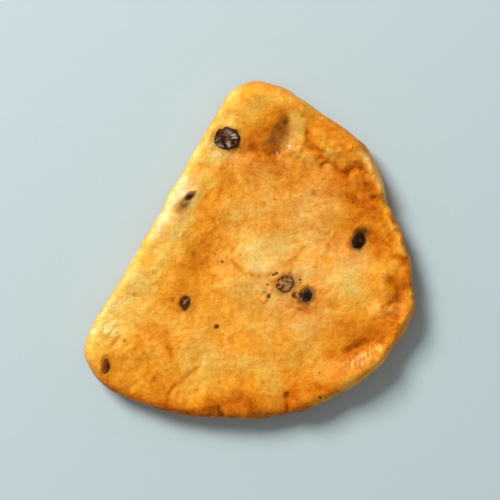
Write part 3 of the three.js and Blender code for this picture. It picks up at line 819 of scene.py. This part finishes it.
GOLDEN_TONES = [
    (0.0, (254, 233, 160)), (0.25, (250, 200, 90)), (0.5, (238, 156, 36)),
    (0.75, (208, 108, 6)), (1.0, (112, 46, 6)),
]
STARCHY_TONES = [
    (0.0, (254, 236, 192)), (0.25, (248, 203, 120)), (0.5, (233, 160, 66)),
    (0.75, (208, 112, 14)), (1.0, (112, 46, 6)),
]
MOTTLE_MEAN = 0.11  # taken off again, so that the mottle keeps the mean tone


def crust_material():
    """Glazed crust: its colour runs from pale starch over gold and orange to brown by the browning field,
    which also carries painted light and shade, and a fine mottle, with red-brown specks, orange flecks, pale
    streaks painted on the puckered lip as glints and brown shade where a seed lies under the skin. Fine grain
    and glossy glaze, dull where it is burnt."""
    material, tree = new_material("glazed_crust")
    place = object_place(tree)
    mottle = speckle(tree, place, grain=0.7, amount=0.1)
    patchy = arithmetic(tree, "MULTIPLY", mottle, speckle(tree, place, grain=3.0))
    mottle = arithmetic(tree, "ADD", mottle, patchy)
    mottle = arithmetic(tree, "ADD", mottle, speckle(tree, place, grain=0.25, amount=0.07))
    tone = arithmetic(tree, "ADD", field_value(tree, "browning"), mottle)
    tone = arithmetic(tree, "SUBTRACT", tone, MOTTLE_MEAN)
    golden = ramp(tree, tone, GOLDEN_TONES)
    starchy = ramp(tree, tone, STARCHY_TONES)
    colour = mix_colours(tree, field_value(tree, "starch"), golden, starchy)
    specks = speckle(tree, place, grain=0.7, low=0.7, high=0.76, amount=0.5)
    colour = mix_colours(tree, specks, colour, paint(160, 72, 10))
    flecks = speckle(tree, place, grain=0.4, low=0.56, high=0.74, amount=0.3)
    colour = mix_colours(tree, flecks, colour, paint(210, 104, 10))
    # Short pale strokes across the puckered lip are painted glints, where the lip's wrinkles catch the lamp.
    drawn_out = {"Vector": place, "Scale": (3.2, 0.8, 0.8), "Rotation": (0, 0, 0.25)}
    drawn = add_node(tree, "ShaderNodeMapping", drawn_out).outputs["Vector"]
    painted_glint_strokes = speckle(tree, drawn, grain=1.0, low=0.46, high=0.62, amount=0.5)
    painted_glint_strokes = arithmetic(tree, "MULTIPLY", painted_glint_strokes, field_value(tree, "puckered"))
    colour = mix_colours(tree, painted_glint_strokes, colour, paint(255, 240, 140))
    colour = mix_colours(tree, field_value(tree, "veil"), colour, paint(86, 50, 20))
    dryness = speckle(tree, place, grain=1.5, low=-0.6, high=1.7)
    burnt = spread(tree, tone, low=0.6, high=1.0, amount=0.4)
    coarse = speckle(tree, place, grain=0.45, low=0.2, high=0.8)
    fine = speckle(tree, place, grain=0.17, low=0.2, high=0.8, amount=0.3)
    relief = arithmetic(tree, "ADD", coarse, fine)
    bump = add_node(tree, "ShaderNodeBump", {"Height": relief, "Distance": 0.075 * MM, "Strength": 1.0})
    set_shader(tree, {
        "Base Color": colour,
        "Roughness": arithmetic(tree, "ADD", dryness, burnt),
        "Coat Weight": arithmetic(tree, "MULTIPLY", field_value(tree, "wet"), 0.6),
        "Coat Roughness": 0.22,
        "Specular IOR Level": 0.4,
        "Specular Tint": paint(255, 214, 96),
        "Subsurface Weight": 0.55,
        "Subsurface Radius": (1.0, 0.55, 0.15),
        "Subsurface Scale": 1.0 * MM,
        "Normal": bump.outputs["Normal"],
    })
    return material


crust.data.materials.append(crust_material())
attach(crust, "root")
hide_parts("cracker")


# The sesame seeds: flat drop-shaped black seeds, mixed into the dough before it was pressed and held by it.
# Those on the shown face have their own places. A few more are spread over the underside by the golden angle.
SEED_POINT = 0.4  # how much slimmer the pointed end is
SEED_AROUND = 32
SEED_ALONG = 24
HIDDEN_SEED_COUNT = 26
HIDDEN_SEED_REACH = 0.93
HIDDEN_SEED = dict(length=2.8, width=0.66, bare=0.4, dust_and_glint=0.2, toast=0.1)
HIDDEN_SEED_CLEARANCE = 0.05  # one that would come nearer to the table is left out


def face_places(plan):
    """Share of the way round and distance in from the outline of each place in plan: the outline is read at
    the direction in which the place lies from the heart."""
    rim_turn = np.unwrap(np.arctan2(*(RIM_CURVE - HEART).T[::-1]))
    turn = np.arctan2(*(plan - HEART).T[::-1])
    turn = rim_turn[0] + (turn - rim_turn[0]) % (2 * math.pi)
    u = np.interp(turn, rim_turn, RIM_SHARE)
    return u, np.linalg.norm(rim_at(u) - HEART, axis=1) - np.linalg.norm(plan - HEART, axis=1)


def wafer_at(u, inset, side):
    """Points of the finished crust at those places, with side 1 for the shown face and -1 for the
    underside."""
    tilt = side * np.arccos(np.maximum(0, 1 - inset / EDGE_ROUND))
    points, facing = plain_wafer(u, tilt, inset)
    return points + facing * skin_detail(points, (1 + np.sin(tilt)) / 2)[0][:, None]


STEP_IN = 0.4  # two short steps over the crust, whose cross product points out of it
STEP_ROUND = 0.004  # as a share of the way round


def seed_frames(u, inset, side, turn):
    """Three directions of each seed as it lies on the crust: ahead to its point, across, and out of the
    crust."""
    middle = wafer_at(u, inset, side)
    inwards = wafer_at(u, inset + STEP_IN, side) - middle
    along = wafer_at(u + STEP_ROUND, inset, side) - middle
    out = np.cross(along, inwards) * side
    out /= np.linalg.norm(out, axis=1, keepdims=True)
    across = np.cross(out, np.column_stack([np.cos(turn), np.sin(turn), np.zeros_like(turn)]))
    across /= np.linalg.norm(across, axis=1, keepdims=True)
    return middle, np.cross(across, out), across, out


def seed_shape():
    """A seed of length 1 along +X: rings round the axis, whose radius is that of a ball, made slimmer towards
    the point, flattened and closed by a point at each end."""
    along = math.pi * np.arange(1, SEED_ALONG) / SEED_ALONG
    around = 2 * math.pi * np.arange(SEED_AROUND) / SEED_AROUND
    along, around = (axis.ravel() for axis in np.meshgrid(along, around, indexing="ij"))
    x = -0.5 * np.cos(along)
    radius = 0.5 * np.sin(along) * (1 - SEED_POINT * (x + 0.5) ** 2)
    rings = np.column_stack([x, radius * np.cos(around), radius * np.sin(around) * SEED_HEIGHT])
    points = np.vstack([[[-0.5, 0, 0]], rings, [[0.5, 0, 0]]])
    index = 1 + np.arange(len(rings)).reshape(SEED_ALONG - 1, SEED_AROUND)
    following = np.roll(index, -1, 1)
    squares = np.stack([index[:-1], index[1:], following[1:], following[:-1]], -1).reshape(-1, 4)
    blunt = np.column_stack([np.zeros(SEED_AROUND, int), index[0], following[0]])
    pointed = np.column_stack([np.full(SEED_AROUND, len(points) - 1), following[-1], index[-1]])
    return points, squares[:, ::-1], np.vstack([blunt, pointed])[:, ::-1]


def hidden_seed_places():
    """Golden-angle spread over the underside: the share of the way round, the distance in, and the turn."""
    i = np.arange(HIDDEN_SEED_COUNT)
    u = (i * GOLDEN_ANGLE / (2 * math.pi)) % 1
    reach = np.linalg.norm(rim_at(u) - HEART, axis=1)
    return u, (1 - HIDDEN_SEED_REACH * np.sqrt((i + 0.5) / HIDDEN_SEED_COUNT)) * reach, (i * i).astype(float)


COAT_WRINKLES = [(0.05, 1.3, 103), (0.18, 0.7, 106)]  # height, size and salt of each noise


def lay_seeds(u, inset, side, turn, length, width, bare):
    """Points of every seed, sunk into the crust until its bare share stands out: seeds by points by three.
    Each point moves in or out from the seed's middle by noise, which wrinkles the coat."""
    middle, ahead, across, out = seed_frames(u, inset, side, turn)
    middle = middle - out * ((0.5 - bare) * length * SEED_HEIGHT)[:, None]
    local = seed_shape()[0][None] * length[:, None, None]
    local[:, :, 1] *= width[:, None]
    smooth = local @ np.stack([ahead, across, out], 1)
    there = (middle[:, None] + smooth).reshape(-1, 3)
    wrinkle = 1 + layered_noise(there, COAT_WRINKLES)
    return middle[:, None] + smooth * wrinkle.reshape(len(length), -1, 1)


def seed_piece(name, laid, fields):
    """One mesh of many seeds: laid holds their points, and fields one number by name for each seed, or for
    each point of each seed."""
    shape_points, squares, fans = seed_shape()
    starts = (np.arange(len(laid)) * len(shape_points))[:, None, None]
    shape = laid.shape[:2]
    point_fields = {field: np.broadcast_to(values, shape).ravel() for field, values in fields.items()}
    blocks = [(starts + squares).reshape(-1, 4), (starts + fans).reshape(-1, 3)]
    return mesh_piece(name, laid.reshape(-1, 3) + WAFER_SHIFT, blocks, point_fields)


def seed_column(seeds, key):
    """That property of each seed, which is 0 where it is left out."""
    return np.array([seed.get(key, 0.0) for seed in seeds], float)


DUST_AND_GLINT_LEAN = 0.5  # starch and painted glints lie on one side of a seed, whose border leans this far
DUST_AND_GLINT_SIDE = (-0.35, 0.2)  # across the seed, from none to full
DUST_AND_GLINT_TOP = (0.4, 0.75)  # up the seed, from none to full
CLEAR_OF_DOUGH = (-0.02, 0.14)  # shares of the height from the crust, where clinging dough ends
shown_places = face_places(seed_column(SHOWN_SEEDS, "place"))
shown_sizes = [seed_column(SHOWN_SEEDS, key) for key in ("length", "width", "bare")]
shown_points = lay_seeds(*shown_places, 1, np.radians(seed_column(SHOWN_SEEDS, "turn")), *shown_sizes)
hidden_u, hidden_inset, hidden_turn = hidden_seed_places()
hidden_seeds = [HIDDEN_SEED] * HIDDEN_SEED_COUNT
hidden_sizes = [seed_column(hidden_seeds, key) for key in ("length", "width", "bare")]
hidden_points = lay_seeds(hidden_u, hidden_inset, -1, hidden_turn, *hidden_sizes)
hidden_points = hidden_points[hidden_points[:, :, 2].min(1) > HIDDEN_SEED_CLEARANCE]
all_seeds = SHOWN_SEEDS + hidden_seeds[: len(hidden_points)]
dust_and_glint, worn, toast, bare = (seed_column(all_seeds, key)[:, None] for key in ("dust_and_glint", "worn", "toast", "bare"))
seed_ahead, seed_across, seed_height = seed_shape()[0].T
seed_top = 2 * seed_height / SEED_HEIGHT
# The seeds' pale streaks, starch and painted glints, lie on one side of the top.
dust_and_glint_side = smooth_step(seed_across - DUST_AND_GLINT_LEAN * seed_ahead, *DUST_AND_GLINT_SIDE)
seeds = seed_piece(
    "sesame_seeds",
    np.concatenate([shown_points, hidden_points]),
    {
        "ahead": seed_ahead,
        "across": seed_across,
        "number": np.arange(len(all_seeds))[:, None],
        "dust_and_glint": dust_and_glint * dust_and_glint_side * smooth_step(seed_top, *DUST_AND_GLINT_TOP),
        "worn": worn * np.maximum(seed_top, 0),
        "toast": toast,
        "above": smooth_step((seed_top + 1) / 2 - (1 - bare), *CLEAR_OF_DOUGH),
    },
)


def vector_math(tree, operation, first, second=(0, 0, 0)):
    """A vector worked out from one or two vectors or sockets."""
    made = add_node(tree, "ShaderNodeVectorMath", {0: first, 1: second}, operation=operation)
    return made.outputs["Vector"]


COAT_TONES = [(0.0, (12, 8, 5)), (0.6, (24, 16, 9)), (1.0, (52, 34, 17))]


def seed_material():
    """Black seed coat: near black, toasted to red-brown in patches, brown where dough clings to its foot,
    pale where the top is worn, with pale streaks that run out from its middle, partly starch and partly
    painted glints of the glossy coat, finely pitted and dull."""
    material, tree = new_material("sesame_coat")
    place = object_place(tree)
    colour = ramp(tree, speckle(tree, place, grain=0.5), COAT_TONES)
    toasted = speckle(tree, place, grain=0.9, low=0.3, high=0.6)
    toasted = arithmetic(tree, "MULTIPLY", toasted, field_value(tree, "toast"))
    colour = mix_colours(tree, toasted, colour, paint(122, 54, 10))
    clinging = spread(tree, field_value(tree, "above"), low=1.0, high=0.0, amount=0.8)
    colour = mix_colours(tree, clinging, colour, paint(104, 58, 18))
    bald = speckle(tree, place, grain=0.5, low=0.2, high=0.66)
    bald = spread(tree, arithmetic(tree, "MULTIPLY", bald, field_value(tree, "worn")), low=0.35, high=0.85)
    colour = mix_colours(tree, bald, colour, paint(200, 156, 98))
    # The pale streaks below are starch and painted glints of the glossy coat.
    from_middle = {"X": field_value(tree, "ahead"), "Y": field_value(tree, "across")}
    from_middle = add_node(tree, "ShaderNodeCombineXYZ", from_middle).outputs["Vector"]
    number = add_node(tree, "ShaderNodeCombineXYZ", {"Z": field_value(tree, "number")}).outputs["Vector"]
    bend = add_node(tree, "ShaderNodeTexNoise", {"Vector": place, "Scale": 1 / (0.9 * MM)}).outputs["Color"]
    bend = vector_math(tree, "MULTIPLY", bend, (0.8, 0.8, 0.8))
    spoke = vector_math(tree, "ADD", vector_math(tree, "NORMALIZE", from_middle), number)
    spoke = vector_math(tree, "ADD", spoke, bend)
    noise = add_node(tree, "ShaderNodeTexNoise", {"Vector": spoke, "Scale": 3.6, "Detail": 1.0})
    streak_and_glint = arithmetic(tree, "ADD", noise.outputs["Fac"], speckle(tree, place, grain=0.6, amount=0.34))
    streak_and_glint = spread(tree, streak_and_glint, low=0.56, high=0.77)
    away = add_node(tree, "ShaderNodeVectorMath", {0: from_middle}, operation="LENGTH").outputs["Value"]
    # Streaks of starch and painted glints together, mixed into the coat's colour.
    starch = arithmetic(tree, "MULTIPLY", streak_and_glint, field_value(tree, "dust_and_glint"))
    starch = arithmetic(tree, "MULTIPLY", starch, spread(tree, away, low=0.1, high=0.3))
    colour = mix_colours(tree, starch, colour, paint(206, 184, 168))
    pits = add_node(tree, "ShaderNodeTexVoronoi", {"Vector": place, "Scale": 1 / (0.22 * MM)})
    bump = add_node(tree, "ShaderNodeBump", {"Height": pits.outputs["Distance"], "Distance": 0.05 * MM})
    set_shader(tree, {
        "Base Color": colour,
        "Roughness": 0.5,
        "Specular IOR Level": 0.02,
        "Normal": bump.outputs["Normal"],
    })
    return material


seeds.data.materials.append(seed_material())
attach(seeds, "root")


# The specks: crumbs of seed coat and scorched dough, caught in the skin of the shown face when it was
# pressed. They are shaped like small seeds, turned by the golden angle.
SPECK_WIDTH = 0.85  # share of the length
SPECK_TONES = [(0.0, (84, 32, 9)), (1.0, (150, 72, 20))]
speck_places = face_places(np.array([place for place, _, _ in SPECKS]))
speck_turn = np.arange(len(SPECKS)) * GOLDEN_ANGLE
speck_sizes = np.array([(size, SPECK_WIDTH, bare) for _, size, bare in SPECKS]).T
specks = seed_piece("toasted_specks", lay_seeds(*speck_places, 1, speck_turn, *speck_sizes), {})


def speck_material():
    """Scorched crumb: dark red-brown, lighter here and there, rough."""
    material, tree = new_material("scorched_crumb")
    colour = ramp(tree, speckle(tree, object_place(tree), grain=0.3), SPECK_TONES)
    set_shader(tree, {"Base Color": colour, "Roughness": 0.5, "Specular IOR Level": 0.05})
    return material


specks.data.materials.append(speck_material())
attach(specks, "root")


# The table, light and camera: a plain pale blue-grey sheet, one large soft lamp up to the left, a little
# light from all round, and a camera straight above.
FLOOR_HALF = 0.8
floor_mesh = bpy.data.meshes.new("floor")
floor_corners = [(x * FLOOR_HALF, y * FLOOR_HALF, 0) for x, y in ((-1, -1), (1, -1), (1, 1), (-1, 1))]
floor_mesh.from_pydata(floor_corners, [], [(0, 1, 2, 3)])
floor = bpy.data.objects.new("floor", floor_mesh)
bpy.context.scene.collection.objects.link(floor)
floor_material, floor_tree = new_material("pale_sheet")
set_shader(floor_tree, {"Base Color": paint(191, 209, 211), "Roughness": 0.8})
floor.data.materials.append(floor_material)

KEY_PLACE = (-0.30, 0.34, 0.46)
KEY_SIZE = 0.24
KEY_POWER = 4.5
key_data = bpy.data.lights.new("key", "AREA")
key_data.size = KEY_SIZE
key_data.energy = KEY_POWER
key = bpy.data.objects.new("key", key_data)
key.location = KEY_PLACE
key.rotation_euler = (-key.location).to_track_quat("-Z", "Y").to_euler()
bpy.context.scene.collection.objects.link(key)

ROOM_LIGHT = {"Color": (1.0, 1.0, 1.0, 1.0), "Strength": 0.27}
world = bpy.data.worlds.new("room")
world.use_nodes = True
plug(world.node_tree, world.node_tree.nodes["Background"], ROOM_LIGHT)
bpy.context.scene.world = world
bpy.context.scene.view_settings.view_transform = "Standard"

FRAME_WIDTH = 0.0659  # of the picture, at the top of the plate
LENS = 120.0
camera_data = bpy.data.cameras.new("camera")
camera_data.lens = LENS
camera_data.clip_start = 0.01
camera = bpy.data.objects.new("camera", camera_data)
camera.location = (0, 0, PLATE_THICKNESS * MM + FRAME_WIDTH * LENS / camera_data.sensor_width)
bpy.context.scene.collection.objects.link(camera)
bpy.context.scene.camera = camera
